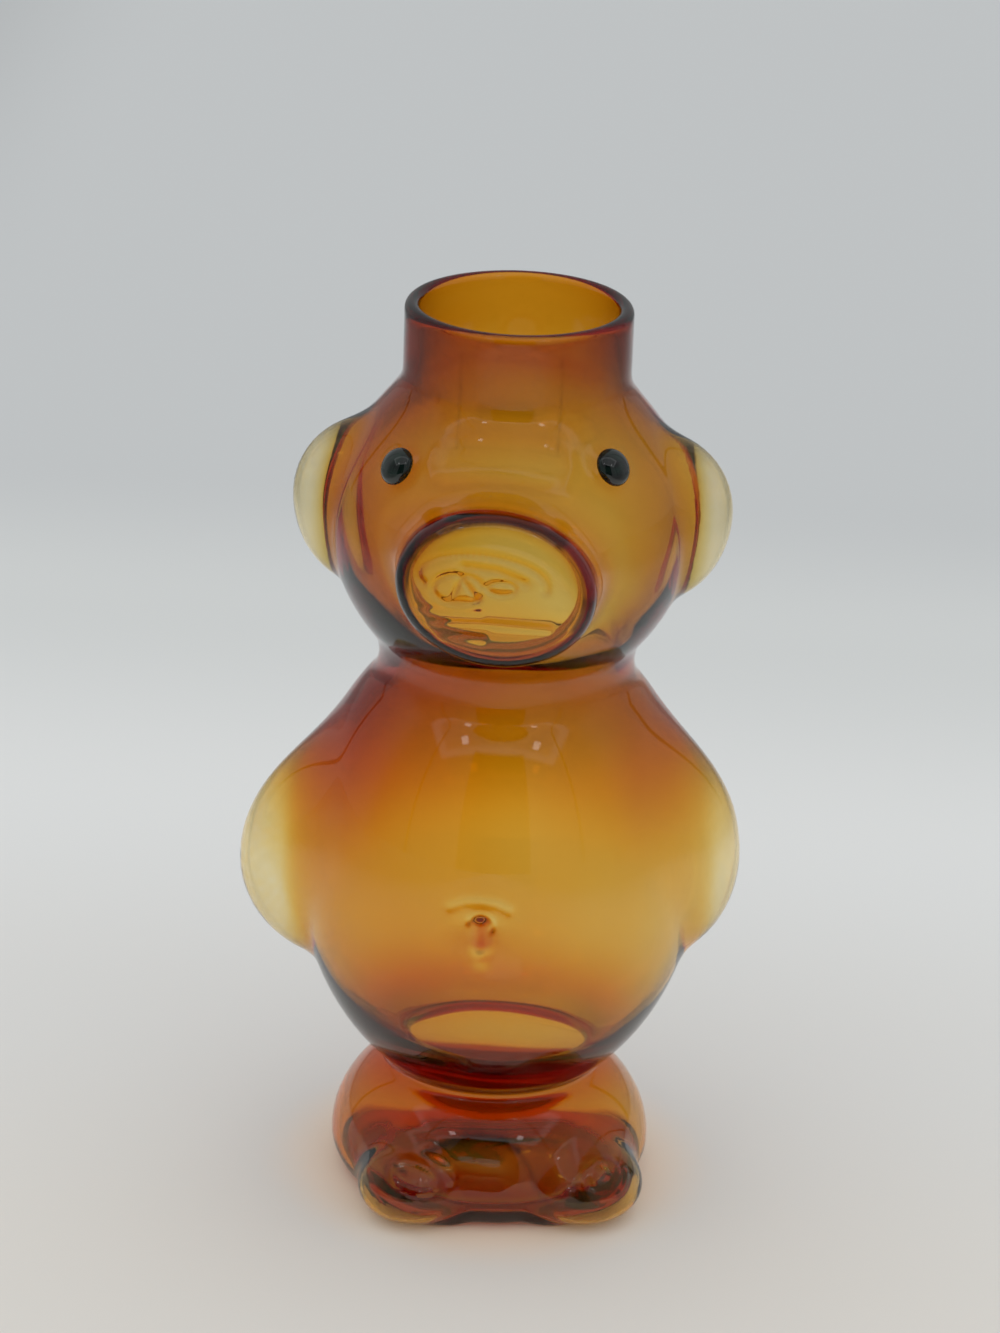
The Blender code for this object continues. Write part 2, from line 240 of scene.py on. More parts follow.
def bulb_distance(points, facts, power, share=1.0):
    """Distance outside an egg-shaped bulb. A higher power presses its front flat, and a share narrows it."""
    local = (points - facts["middle"]) @ facts["axes"].T
    across, out, rise, fall = facts["sizes"]
    across, rise, fall = across * share, rise * share, fall * share
    upright = np.where(local[:, 2] > 0.0, rise, fall)
    x = local[:, 0] / across
    y = np.abs(local[:, 1]) / out
    z = local[:, 2] / upright
    least_slope = 0.02
    if power == 2.0:
        near = np.sqrt(x * x + y * y + z * z) + TINY
        slope = np.sqrt((x / across) ** 2 + (y / out) ** 2 + (z / upright) ** 2) / near
        return (near - 1.0) / np.maximum(slope, least_slope)
    round_part = np.sqrt(x * x + z * z) + TINY
    near = (round_part ** power + y ** power) ** (1.0 / power) + TINY
    side = (round_part / near) ** (power - 1.0)
    slope_x = side * x / round_part / across
    slope_z = side * z / round_part / upright
    slope_y = (y / near) ** (power - 1.0) / out
    slope = np.sqrt(slope_x ** 2 + slope_y ** 2 + slope_z ** 2)
    return (near - 1.0) / np.maximum(slope, least_slope)


def turned_axes(turn, tilt, roll=0.0):
    """Axes of a piece that faces -Y: turned towards +X, tilted up and rolled clockwise, in degrees."""
    return np.array((
        Matrix.Rotation(np.radians(turn), 3, "Z")
        @ Matrix.Rotation(np.radians(-tilt), 3, "X")
        @ Matrix.Rotation(np.radians(roll), 3, "Y")
    ).transposed())


def lobe(middle, sizes, walls, join, turn=0.0, tilt=0.0, roll=0.0, powers=(2.0, 2.0), hollow_share=1.0):
    """A bulb's facts. It faces -Y before it is turned.

    Sizes are its half width, how far it stands out, and how far up and down it reaches. Walls are its
    thickness at its root and at its tip. Join is how wide it is rounded into the body at its lower
    and its upper end. Powers press the front of its outer and its inner face flat, and the hollow
    share narrows its inner face.
    """
    return {
        "middle": np.array(middle),
        "sizes": sizes,
        "walls": walls,
        "join": join,
        "axes": turned_axes(turn, tilt, roll),
        "powers": powers,
        "hollow_share": hollow_share,
    }


LOBES = {
    "ear_left": lobe((-28.0, 0.0, 148.2), (12.5, 16.2, 16.4, 19.2), (0.8, 0.16), (1.5, 3.0), turn=-90.0),
    "ear_right": lobe((28.0, 0.0, 148.2), (12.5, 16.2, 16.4, 19.2), (0.8, 0.16), (1.5, 3.0), turn=90.0),
    "arm_left": lobe((-30.0, 0.0, 67.5), (17.0, 23.9, 26.0, 22.0), (0.9, 0.22), (2.0, 11.0), turn=-90.0),
    "arm_right": lobe((30.0, 0.0, 73.0), (17.0, 19.6, 24.0, 23.0), (0.9, 0.22), (2.0, 11.0), turn=90.0),
    "snout": lobe(
        (0.0, -37.3, 146.0), (19.6, 12.0, 15.5, 15.5), (0.6, 0.5), (4.0, 7.0),
        tilt=4.0, roll=8.0, powers=(6.0, 6.0), hollow_share=0.93,
    ),
    "foot_left": lobe((-12.2, -22.6, 5.0), (13.0, 15.0, 12.5, 14.0), (0.8, 0.3), (2.5, 2.5), turn=-28.0),
    "foot_right": lobe((19.1, -18.4, 5.0), (14.0, 15.0, 12.5, 14.0), (0.8, 0.3), (2.5, 2.5), turn=45.0),
}


ARC_POINTS = 40
LINE_STEPS = 20


def arc(middle, radii, start, end, turn=0.0):
    """Points along part of an oval, angles in degrees, anticlockwise from the right."""
    angles = np.radians(np.linspace(start, end, ARC_POINTS))
    turned = np.radians(turn)
    u = radii[0] * np.cos(angles)
    v = radii[1] * np.sin(angles)
    return np.column_stack((
        middle[0] + u * np.cos(turned) - v * np.sin(turned),
        middle[1] + u * np.sin(turned) + v * np.cos(turned),
    ))


def path(*corners):
    """Points along straight lines between corners."""
    corners = np.array(corners)
    at = np.linspace(0.0, len(corners) - 1.0, LINE_STEPS * (len(corners) - 1) + 1)
    return np.column_stack([np.interp(at, np.arange(len(corners)), corners[:, axis]) for axis in (0, 1)])


def patch(middle, turn, tilt, marks):
    """Small marks on the face near a place. Each is a line, a size and a width."""
    return {"middle": np.array(middle), "axes": turned_axes(turn, tilt), "marks": marks}


BASE_PLACE = ((0.0, -32.0, 12.0), 0.0, 12.0)
FOOT_LEFT_PLACE = ((-13.2, -33.6, 12.2), -22.0, 25.0)
FOOT_RIGHT_PLACE = ((22.6, -26.0, 10.5), 40.0, 25.0)

# Raised marks: tool marks and swirls drawn in the soft glass. A mark's size is its height, in if negative
PATCH_REACH = 20.0
PATCH_DEPTH = 7.0
PATCHES = {
    "snout": patch((-1.5, -49.3, 146.2), 0.0, 4.0, (
        (arc((-0.8, 3.7), (12.4, 4.9), -8.0, 205.0, -4.0), 0.3, 0.75),
        (arc((-5.4, 1.6), (4.8, 3.0), 20.0, 330.0), 0.3, 0.65),
        (path((-4.9, 4.1), (-1.6, -0.4), (-6.6, -0.6), (-4.9, 4.1)), 0.4, 0.6),
        (arc((2.9, 2.3), (2.6, 1.2), 0.0, 330.0), 0.35, 0.6),
        (path((-4.3, 6.2), (2.0, 5.6), (7.2, 3.6)), 0.3, 1.0),
        (path((-13.0, -2.6), (-1.2, -2.9)), 0.12, 0.9),
        (path((-10.0, -5.2), (0.0, -5.0), (12.0, -5.4)), 0.2, 1.0),
        (path((-8.0, -7.6), (-0.6, -8.1)), 0.35, 1.4),
    )),
    "forehead": patch((-1.6, -27.5, 166.0), 0.0, 42.0, (
        (path((-10.0, 5.0), (10.0, 5.0), (13.2, 3.4), (14.2, 0.0), (13.0, -3.6), (10.0, -5.0), (-10.0, -5.0),
              (-13.0, -3.6), (-14.2, 0.0), (-13.2, 3.4), (-10.0, 5.0)), 0.16, 1.5),
        (path((-7.0, 1.6), (7.0, 1.4)), 0.08, 1.2),
    )),
    "belly": patch((-1.0, -41.5, 75.3), 0.0, 0.0, (
        (path((-6.1, 1.5), (-3.0, 2.9), (0.0, 3.2), (3.0, 2.8), (5.6, 1.6)), -0.3, 1.0),
        (path((-2.5, -1.0), (2.5, -1.0)), -0.35, 4.0),
        (path((0.2, -1.2), (0.4, -5.4)), 1.5, 1.7),
        (arc((0.2, -1.6), (2.5, 2.0), -20.0, 165.0), -0.5, 0.6),
        (path((0.2, -7.4), (0.6, -9.0)), 0.4, 1.8),
    )),
    "foot_left": patch(*FOOT_LEFT_PLACE, (
        (arc((0.0, 0.0), (4.9, 2.8), 0.0, 330.0, -12.0), 0.4, 0.8),
        (arc((1.0, 1.2), (7.0, 4.6), -10.0, 100.0, -10.0), 0.25, 1.0),
    )),
    "base": patch(*BASE_PLACE, (
        (path((-7.5, 1.0), (-3.0, 1.9), (3.0, 1.4)), -0.9, 3.0),
    )),
    "foot_right": patch(*FOOT_RIGHT_PLACE, (
        (arc((0.0, 0.0), (4.4, 2.8), 20.0, 350.0, 20.0), 0.7, 0.9),
        (arc((0.3, 0.3), (2.4, 1.4), 120.0, 390.0, 20.0), 0.6, 0.7),
        (arc((0.0, 0.0), (6.6, 4.6), 180.0, 330.0, 15.0), 0.5, 1.0),
    )),
}

# Painted shade: dark lines painted into the glass's colour where it shows shade, at folds and edges of thick
# glass, which send light aside, and where it mirrors the tent's dark hatch. A mark's size is its darkness
PAINTED_SHADE_REACH = 26.0
PAINTED_SHADE_DEPTH = 5.0
PAINTED_SHADE_LINES = {
    "base": patch(*BASE_PLACE, (
        (path((-11.0, 4.4), (-6.5, 6.8), (-2.5, 8.0), (0.4, 8.3), (4.3, 7.9), (7.8, 6.0)), 0.85, 0.9),
        (path((7.8, 6.0), (10.4, 2.2), (11.8, -1.4), (14.1, -4.5)), 0.5, 0.7),
        (path((-3.0, 9.0), (4.5, 8.8)), 0.6, 1.6),
    )),
    "foot_left": patch(*FOOT_LEFT_PLACE, (
        (path((-4.4, 1.5), (-1.4, 0.4)), 0.9, 0.45),
        (arc((0.0, 0.0), (6.2, 3.9), 190.0, 350.0, -12.0), 0.45, 0.6),
    )),
    "foot_right": patch(*FOOT_RIGHT_PLACE, (
        (arc((0.0, 0.0), (5.8, 4.0), 150.0, 300.0, 20.0), 0.45, 0.6),
    )),
    "snout_edge": patch((0.0, -47.6, 146.0), 0.0, 4.0, (
        (arc((0.0, 0.0), (19.0, 15.0), 48.0, 150.0), 1.0, 0.95),
        (arc((0.0, 0.0), (18.9, 14.9), 150.0, 215.0), 0.9, 1.0),
        (arc((0.0, 0.0), (19.1, 14.9), -28.0, -2.0), 0.97, 1.5),
    )),
    "neck_root": patch((-0.8, -22.0, 174.0), 0.0, 40.0, (
        (path((-4.6, 0.0), (4.6, 0.0)), 0.3, 1.7),
    )),
    "neck": patch((0.0, -22.0, 177.0), 0.0, 0.0, (
        (path((-9.8, 8.0), (-9.7, -9.0)), 0.3, 0.4),
        (path((9.8, 8.0), (9.9, -9.0)), 0.3, 0.4),
    )),
}


def mark_sizes(points, places, reach, depth):
    """Each mark of the places in turn: the points near it, and its size at each of them."""
    for place in places.values():
        away = points - place["middle"]
        near = np.nonzero((away * away).sum(1) < reach ** 2)[0]
        if not len(near):
            continue
        local = away[near] @ place["axes"].T
        through = np.exp(-((local[:, 1] / depth) ** 4))
        for line, size, width in place["marks"]:
            gap2 = (local[:, None, 0] - line[None, :, 0]) ** 2 + (local[:, None, 2] - line[None, :, 1]) ** 2
            yield near, size * through * np.exp(-gap2.min(1) / width ** 2)


def painted_shade_shares(points):
    """How much painted shade darkens each point of the outer face, from 0 to 1."""
    clear = np.ones(len(points))
    for near, share in mark_sizes(points, PAINTED_SHADE_LINES, PAINTED_SHADE_REACH, PAINTED_SHADE_DEPTH):
        clear[near] *= 1.0 - share
    return 1.0 - clear


def relief(points):
    """How far small marks and the mounds under the eyes stand out of the outer face."""
    height = np.zeros(len(points))
    for near, rise in mark_sizes(points, PATCHES, PATCH_REACH, PATCH_DEPTH):
        height[near] += rise
    for spot in EYES.values():
        away2 = ((points - np.array(spot)) ** 2).sum(1)
        height += EYE_MOUND * np.exp(-((away2 / EYE_MOUND_REACH ** 2) ** 2))
    return height


def join_width(points, facts):
    """How wide a lobe is rounded into the body, at each point's height."""
    low, high = facts["join"]
    middle = facts["middle"][2]
    rise, fall = facts["sizes"][2:]
    return low + (high - low) * smooth_step(points[:, 2], middle - 0.5 * fall, middle + 0.5 * rise)


def outer_distance(points):
    """Distance outside the glass's outer face, floor and all."""
    radius = np.hypot(points[:, 0], points[:, 1])
    hollow = FLOOR_HOLLOW * (1.0 - smooth_step(radius, *FLOOR_HOLLOW_RADII))
    skin = turned_distance(points, OUTER)
    for facts in LOBES.values():
        skin = smooth_min(skin, bulb_distance(points, facts, facts["powers"][0]), join_width(points, facts))
    corner = OUTER_FLOOR_ROUNDING + SOLE_ROUNDING * smooth_step(radius, *SOLE_ROUNDING_RADII)
    return smooth_max(skin - relief(points), hollow - points[:, 2], corner)


def unevenness(points):
    """Share by which the wall is thicker or thinner from place to place, as in blown glass."""
    x, y, z = points.T
    waves = np.sin(x * 0.11 + z * 0.07 + 1.0) + np.sin(y * 0.13 - z * 0.05 + 2.0)
    waves += 0.5 * np.sin(x * 0.23 - y * 0.19 + z * 0.17) + 0.5 * np.sin(x * 0.29 + y * 0.21 - z * 0.09)
    low_edge, high_edge = HEAD_EDGES
    head = smooth_step(z, *low_edge) * (1.0 - smooth_step(z, *high_edge))
    chest = hump(z, *CHEST_ZONE)
    sides = np.minimum((x / SIDES_RADIUS) ** 2, SIDES_MOST) - SIDES_EVEN
    nape_back = hump(z, *NAPE_BACK_ZONE) * smooth_step(y, *NAPE_BACK_EDGE)
    uneven = WAVE_SHARE * waves - WALL_LEAN * x
    uneven = uneven + (HEAD_SIDES_SHARE * head + CHEST_SIDES_SHARE * chest) * sides
    uneven = uneven - NAPE_BACK_SHARE * nape_back
    return uneven * (1.0 - smooth_step(z, *RIM_EDGE))


def inner_distance(points):
    """Distance outside the hollow inside the glass."""
    radius = np.hypot(points[:, 0], points[:, 1])
    floor = FLOOR_WALL + FLOOR_CROWN * (1.0 - smooth_step(radius, 0.0, FLOOR_CROWN_RADIUS))
    floor = floor + (SOLE_WALL - FLOOR_WALL) * smooth_step(radius, *SOLE_WALL_RADII)
    floor = floor + RING_WALL * hump(radius, RING_RADIUS, RING_WIDTH)
    skin = turned_distance(points, INNER)
    out = smooth_step(skin, 0.0, LOBE_TIP_REACH)
    skin = skin + unevenness(points) * np.interp(points[:, 2], HEIGHTS, BODY_WALLS)
    for facts in LOBES.values():
        root, tip = facts["walls"]
        wall = root + (tip - root) * out
        bulb = bulb_distance(points, facts, facts["powers"][1], facts["hollow_share"])
        skin = smooth_min(skin, bulb + wall, join_width(points, facts))
    corner = INNER_FLOOR_ROUNDING + SOLE_ROUNDING * smooth_step(radius, *SOLE_ROUNDING_RADII)
    return smooth_max(skin, floor - points[:, 2], corner)


def gradient(function, points):
    """Value and slope of a distance at each point."""
    step = 0.02
    value = function(points)
    slope = np.empty_like(points)
    for axis in range(3):
        moved = points.copy()
        moved[:, axis] += step
        slope[:, axis] = (function(moved) - value) / step
    return value, slope


def landed(function, points, rounds):
    """Points moved onto a face along its slope, and the slope where they were in the last round."""
    for _ in range(rounds):
        value, slope = gradient(function, points)
        points = points - (value / (slope * slope).sum(1))[:, None] * slope
    return points, slope


def settle(grid, function, rounds, closing, gaps):
    """Spread a grid over a face in rounds, then land on it. The first and last rows stay.

    Gaps are the wanted distances between rows, one for each pair of neighbours.
    """
    rows, columns, _ = grid.shape
    before = (1.0 / gaps[:-1])[:, None, None]
    after = (1.0 / gaps[1:])[:, None, None]
    for turn in range(rounds + closing):
        inner = grid[1:-1]
        flat = inner.reshape(-1, 3)
        value, slope = gradient(function, flat)
        length2 = np.maximum((slope * slope).sum(1), LEAST_SLOPE2)
        step = -(value / length2)[:, None] * slope
        size = np.linalg.norm(step, axis=1)
        step *= np.minimum(1.0, LONGEST_STEP / np.maximum(size, TINY))[:, None]
        if turn < rounds:
            normal = slope / np.sqrt(length2)[:, None]
            ring = (np.roll(inner, 1, 1) + np.roll(inner, -1, 1)) / 2
            along = (grid[:-2] * before + grid[2:] * after) / (before + after)
            pull = ((ring + along) / 2 - inner).reshape(-1, 3)
            step += EVENING_SHARE * (pull - (pull * normal).sum(1)[:, None] * normal)
        grid[1:-1] = (flat + step).reshape(rows - 2, columns, 3)
    return grid


def approach(grid, ways, function):
    """Move each point in from outside along its own way until it meets the face."""
    points = grid.reshape(-1, 3)
    ways = ways.reshape(-1, 3)
    travelled = np.full(len(points), START_OUT)
    for _ in range(APPROACH_ROUNDS):
        travelled = travelled - APPROACH_SHARE * function(points + ways * travelled[:, None])
    travelled = np.clip(travelled, FURTHEST_IN, START_OUT)
    return (points + ways * travelled[:, None]).reshape(grid.shape)


def ways_out(grid):
    """The direction out of a grid of rings, at each of its points."""
    along = np.empty_like(grid)
    along[1:-1] = grid[2:] - grid[:-2]
    along[0] = grid[1] - grid[0]
    along[-1] = grid[-1] - grid[-2]
    around = np.roll(grid, -1, 1) - np.roll(grid, 1, 1)
    out = np.cross(around, along)
    return out / np.maximum(np.linalg.norm(out, axis=2, keepdims=True), TINY)


def finer(grid, rows, columns):
    """A grid resampled to more rows and columns."""
    at = np.linspace(0.0, len(grid) - 1.0, rows)
    low = np.minimum(at.astype(int), len(grid) - 2)
    share = (at - low)[:, None, None]
    grid = grid[low] * (1.0 - share) + grid[low + 1] * share
    count = grid.shape[1]
    at = np.arange(columns) * count / columns
    low = at.astype(int)
    share = (at - low)[None, :, None]
    return grid[:, low] * (1.0 - share) + grid[:, (low + 1) % count] * share


def profile_rows(profile, count):
    """A profile of radius and height, resampled to rows that lie closer together at the creases."""
    profile = np.array(profile)
    crowd = 1.0 + sum(more * hump(profile[:, 1], height, reach) for height, reach, more in CROWDING)
    steps = np.linalg.norm(np.diff(profile, axis=0), axis=1) * (crowd[1:] + crowd[:-1]) / 2
    lengths = np.r_[0.0, np.cumsum(steps)]
    at = np.linspace(0.0, lengths[-1], count)
    return np.column_stack([np.interp(at, lengths, profile[:, axis]) for axis in (0, 1)])


def row_gaps(rows):
    """The distances between rows."""
    return np.linalg.norm(np.diff(rows, axis=0), axis=1)


def spin(rows, sides):
    """A grid of points: each row of radius and height turned about the axis."""
    angles = np.arange(sides) * 2 * np.pi / sides
    grid = np.empty((len(rows), sides, 3))
    grid[:, :, 0] = rows[:, :1] * np.sin(angles)
    grid[:, :, 1] = -rows[:, :1] * np.cos(angles)
    grid[:, :, 2] = rows[:, 1:]
    return grid


def face_grid(profile, count, function):
    """A grid that lies on one face of the glass, spread evenly: a coarse one first, then the full one."""
    rows = profile_rows(profile, count // COARSENESS)
    coarse = spin(rows, SIDES // COARSENESS)
    inside = approach(coarse, ways_out(coarse), function)
    coarse[1:-1] = inside[1:-1]
    coarse = settle(coarse, function, COARSE_ROUNDS, COARSE_CLOSING, row_gaps(rows))
    rows = profile_rows(profile, count)
    fine = finer(coarse, count, SIDES)
    fine[0] = spin(rows[:1], SIDES)
    fine[-1] = spin(rows[-1:], SIDES)
    return settle(fine, function, FINE_ROUNDS, FINE_CLOSING, row_gaps(rows))


def glass_grid():
    """The whole closed wall as one grid: under the floor, up the outside, over the rim and down inside."""
    rim_round = RIM_WALL / 2
    low = RIM - rim_round
    heights = np.linspace(0.0, low, PROFILE_POINTS)
    outside = [(POLE_RADIUS, FLOOR_HOLLOW)] + [(float(outline(h)), h) for h in heights]
    outer = face_grid(outside, OUTER_ROWS, outer_distance)
    angles = np.linspace(0.0, np.pi, RIM_ROWS + 2)[1:-1]
    middle = NECK_RADIUS - rim_round
    rim = np.column_stack((middle + rim_round * np.cos(angles), low + rim_round * np.sin(angles)))
    floor = FLOOR_WALL + FLOOR_CROWN
    heights = np.linspace(floor, low, PROFILE_POINTS)
    inside = [(POLE_RADIUS, floor)] + [(float(np.interp(h, HEIGHTS, INNER)), h) for h in heights]
    inner = face_grid(inside, INNER_ROWS, inner_distance)
    return np.concatenate((outer, spin(rim, SIDES), inner[::-1]))


def grid_mesh(name, grid):
    """A closed mesh from a grid of rings, with a point at each end of the axis."""
    rows, columns, _ = grid.shape
    first = grid[0].mean(0)
    last = grid[-1].mean(0)
    vertices = np.concatenate((grid.reshape(-1, 3), first[None], last[None])) * MM
    row = np.arange(rows - 1)[:, None] * columns
    column = np.arange(columns)[None, :]
    ahead = (column + 1) % columns
    quads = np.stack((row + column, row + ahead, row + columns + ahead, row + columns + column), -1)
    faces = quads.reshape(-1, 4).tolist()
    start = rows * columns
    for c in range(columns):
        faces.append(((c + 1) % columns, c, start))
        faces.append(((rows - 1) * columns + c, (rows - 1) * columns + (c + 1) % columns, start + 1))
    mesh = bpy.data.meshes.new(name)
    mesh.from_pydata(vertices.tolist(), [], faces)
    mesh.validate()
    thing = bpy.data.objects.new(name, mesh)
    bpy.context.collection.objects.link(thing)
    return thing


# The two faces of the wall, as the number that marks a mesh's points
OUTSIDE = 1
INSIDE = 0


def finer_spots():
    """Where the mesh is split, in turn: the middle and reach of each spot, and the face it is on."""
    snout = (0.0, -46.0, 146.0)
    swirl = (-1.5, -49.0, 146.2)
    spots = [(snout, 24.0, OUTSIDE), (snout, 20.0, OUTSIDE), (swirl, 14.0, OUTSIDE)]
    spots += [(snout, 24.0, INSIDE), (snout, 21.0, INSIDE)]
    spots.append((PATCHES["forehead"]["middle"], 18.0, OUTSIDE))
    for name in ("belly", "foot_left", "base", "foot_right"):
        spots += [(PATCHES[name]["middle"], reach, OUTSIDE) for reach in (13.0, 9.5)]
    return spots + [(spot, 7.0, OUTSIDE) for spot in EYES.values()]


def refine(thing, outer_count, spots):
    """Split the quads around each spot and land the new points on the wall's face.

    The outer count is how many of the first points lie on the outer face. The painted shade along the
    folds goes into the mesh as an attribute.
    """
    work = bmesh.new()
    work.from_mesh(thing.data)
    face_mark = work.verts.layers.int.new("outer")
    for index, vertex in enumerate(work.verts):
        vertex[face_mark] = OUTSIDE if index < outer_count else INSIDE
    for middle, reach, side in spots:
        middle = Vector(middle) * MM
        near = [
            face for face in work.faces
            if (face.calc_center_median() - middle).length < reach * MM
            and all(vertex[face_mark] == side for vertex in face.verts)
        ]
        edges = {edge for face in near for edge in face.edges}
        made = bmesh.ops.subdivide_edges(work, edges=list(edges), cuts=1, use_grid_fill=True)
        fresh = [part for part in made["geom_inner"] if isinstance(part, bmesh.types.BMVert)]
        for vertex in fresh:
            vertex[face_mark] = side
        points = np.array([vertex.co[:] for vertex in fresh]) / MM
        points = landed(outer_distance if side == OUTSIDE else inner_distance, points, 4)[0]
        for vertex, point in zip(fresh, points):
            vertex.co = point * MM
    bmesh.ops.recalc_face_normals(work, faces=work.faces)
    points = np.array([vertex.co[:] for vertex in work.verts]) / MM
    side = np.array([vertex[face_mark] for vertex in work.verts])
    work.to_mesh(thing.data)
    work.free()
    thing.data.shade_smooth()
    # painted shade along the folds, kept on the outer face's points
    painted_shade = thing.data.attributes.new("painted_shade", "FLOAT", "POINT")
    painted_shade.data.foreach_set("value", np.where(side == OUTSIDE, painted_shade_shares(points), 0.0))


WHITE = (1.0, 1.0, 1.0, 1.0)


class Nodes:
    """Short calls for building a node tree. A socket, a number or a colour may go into any input."""

    def __init__(self, tree):
        self.tree = tree
        tree.nodes.clear()

    def add(self, kind, **settings):
        """A node of a kind, with its settings."""
        node = self.tree.nodes.new("ShaderNode" + kind)
        for key, value in settings.items():
            setattr(node, key, value)
        return node

    def feed(self, socket, value):
        """Link an input to another node's socket, or set it."""
        if isinstance(value, bpy.types.NodeSocket):
            self.tree.links.new(value, socket)
        else:
            socket.default_value = value

    def shader(self, kind, inputs):
        """A shader with its named inputs."""
        node = self.add(kind)
        for name, value in inputs.items():
            self.feed(node.inputs[name], value)
        return node.outputs[0]

    def maths(self, kind, *values):
        """A sum on numbers."""
        node = self.add("Math", operation=kind)
        for socket, value in zip(node.inputs, values):
            self.feed(socket, value)
        return node.outputs[0]

    def times(self, first, second):
        """The product of two numbers."""
        return self.maths("MULTIPLY", first, second)

    def rest(self, value):
        """What a share leaves of 1."""
        return self.maths("SUBTRACT", 1.0, value)

    def vectors(self, kind, *values):
        """A sum on vectors. A length is a number."""
        node = self.add("VectorMath", operation=kind)
        for socket, value in zip(node.inputs, values):
            self.feed(socket, value)
        return node.outputs["Value" if kind == "LENGTH" else "Vector"]

    def scaled(self, vector, scale):
        """A vector or colour times a number."""
        node = self.add("VectorMath", operation="SCALE")
        self.feed(node.inputs[0], vector)
        self.feed(node.inputs["Scale"], scale)
        return node.outputs["Vector"]

    def split(self, value, kind="XYZ"):
        """The three numbers of a vector or a colour."""
        node = self.add("Separate" + kind)
        self.feed(node.inputs[0], value)
        return node.outputs[:3]

    def slope(self, value, start, end, before, after, smooth=False):
        """A number that goes from before to after, while a value goes from start to end."""
        node = self.add("MapRange", interpolation_type="SMOOTHSTEP" if smooth else "LINEAR")
        for socket, number in zip(node.inputs, (value, start, end, before, after)):
            self.feed(socket, number)
        return node.outputs[0]

    def ramp(self, value, stops, easing="EASE"):
        """A colour that changes with a value, from stop to stop."""
        node = self.add("ValToRGB")
        node.color_ramp.interpolation = easing
        marks = node.color_ramp.elements
        for position, _ in stops[:-2]:
            marks.new(position)
        for mark, (position, colour) in zip(marks, stops):
            mark.position = position
            mark.color = colour
        self.feed(node.inputs[0], value)
        return node.outputs[0]

    def mix(self, share, first, second):
        """The first colour going over into the second."""
        node = self.add("Mix", data_type="RGBA")
        for index, value in zip((0, 6, 7), (share, first, second)):
            self.feed(node.inputs[index], value)
        return node.outputs[2]

    def noise(self, place, scale, detail):
        """Soft clouds, as a number."""
        node = self.add("TexNoise")
        for name, value in (("Vector", place), ("Scale", scale), ("Detail", detail)):
            self.feed(node.inputs[name], value)
        return node.outputs[0]

    def bump(self, height, strength, distance):
        """Normals of a skin with a little height."""
        node = self.add("Bump")
        for name, value in (("Height", height), ("Strength", strength), ("Distance", distance)):
            self.feed(node.inputs[name], value)
        return node.outputs[0]


def material(name):
    """A new material, its node calls and the socket that says where a point is."""
    made = bpy.data.materials.new(name)
    made.use_nodes = True
    nodes = Nodes(made.node_tree)
    return made, nodes, nodes.add("TexCoord").outputs["Object"]


# Amber glass: its index, the colour that it keeps and how strongly, and what a line of painted shade lets
# through
GLASS_IOR = 1.5
GLASS_COLOUR = (0.96, 0.747, 0.0, 1.0)
GLASS_DENSITY = 1500.0
PAINTED_SHADE_CLEARNESS = 0.003

# Tint of the body's skin: a height, how much red it keeps, how much darker it is where it is seen
# edge-on, and the radius past which the glass is a lobe's and the tint fades out
TINTS = (
    (0.0, 1.0, 0.0, 33.5),
    (24.4, 1.0, 0.1, 33.5),
    (28.0, 0.4, 0.5, 33.5),
    (33.0, 1.0, 0.1, 36.0),
    (45.0, 1.0, 0.1, 42.0),
    (70.0, 1.0, 0.15, 42.5),
    (90.0, 1.0, 0.4, 42.0),
    (97.0, 1.0, 0.5, 40.5),
    (110.0, 0.76, 0.3, 35.0),
    (124.0, 0.84, 0.5, 33.0),
    (146.0, 1.0, 0.5, 37.5),
    (160.0, 1.0, 0.5, 36.0),
    (168.0, 0.9, 0.6, 30.0),
    (180.0, 0.85, 0.9, 30.0),
)
TINT_HEIGHT = 200.0
TINT_RADIUS = 50.0
TINT_FADE = 4.0
TINT_FRONT = 20.0
TINT_BACK_SHARE = 0.35


def body_tint(nodes, place):
    """Colour of the skin: the tint of the body's front, weaker at its back and none on the lobes."""
    _, y, z = nodes.split(place)
    stops = [
        (height / TINT_HEIGHT, (red, side, radius / TINT_RADIUS, 1.0))
        for height, red, side, radius in TINTS
    ]
    level = nodes.slope(z, 0.0, TINT_HEIGHT * MM, 0.0, 1.0)
    red, side, edge = nodes.split(nodes.ramp(level, stops), "Color")
    facing = nodes.add("LayerWeight")
    nodes.feed(facing.inputs["Blend"], 0.5)
    clear = nodes.rest(nodes.times(facing.outputs["Facing"], side))
    tint = nodes.add("CombineColor")
    for socket, value in zip(tint.inputs, (nodes.times(clear, red), clear, clear)):
        nodes.feed(socket, value)
    radius = nodes.vectors("LENGTH", nodes.vectors("MULTIPLY", place, (1.0, 1.0, 0.0)))
    beyond = nodes.maths("SUBTRACT", radius, nodes.times(edge, TINT_RADIUS * MM))
    body = nodes.slope(beyond, 0.0, TINT_FADE * MM, 1.0, 0.0)
    front = nodes.slope(y, 0.0, TINT_FRONT * MM, 1.0, TINT_BACK_SHARE)
    return nodes.mix(nodes.times(body, front), WHITE, tint.outputs[0])


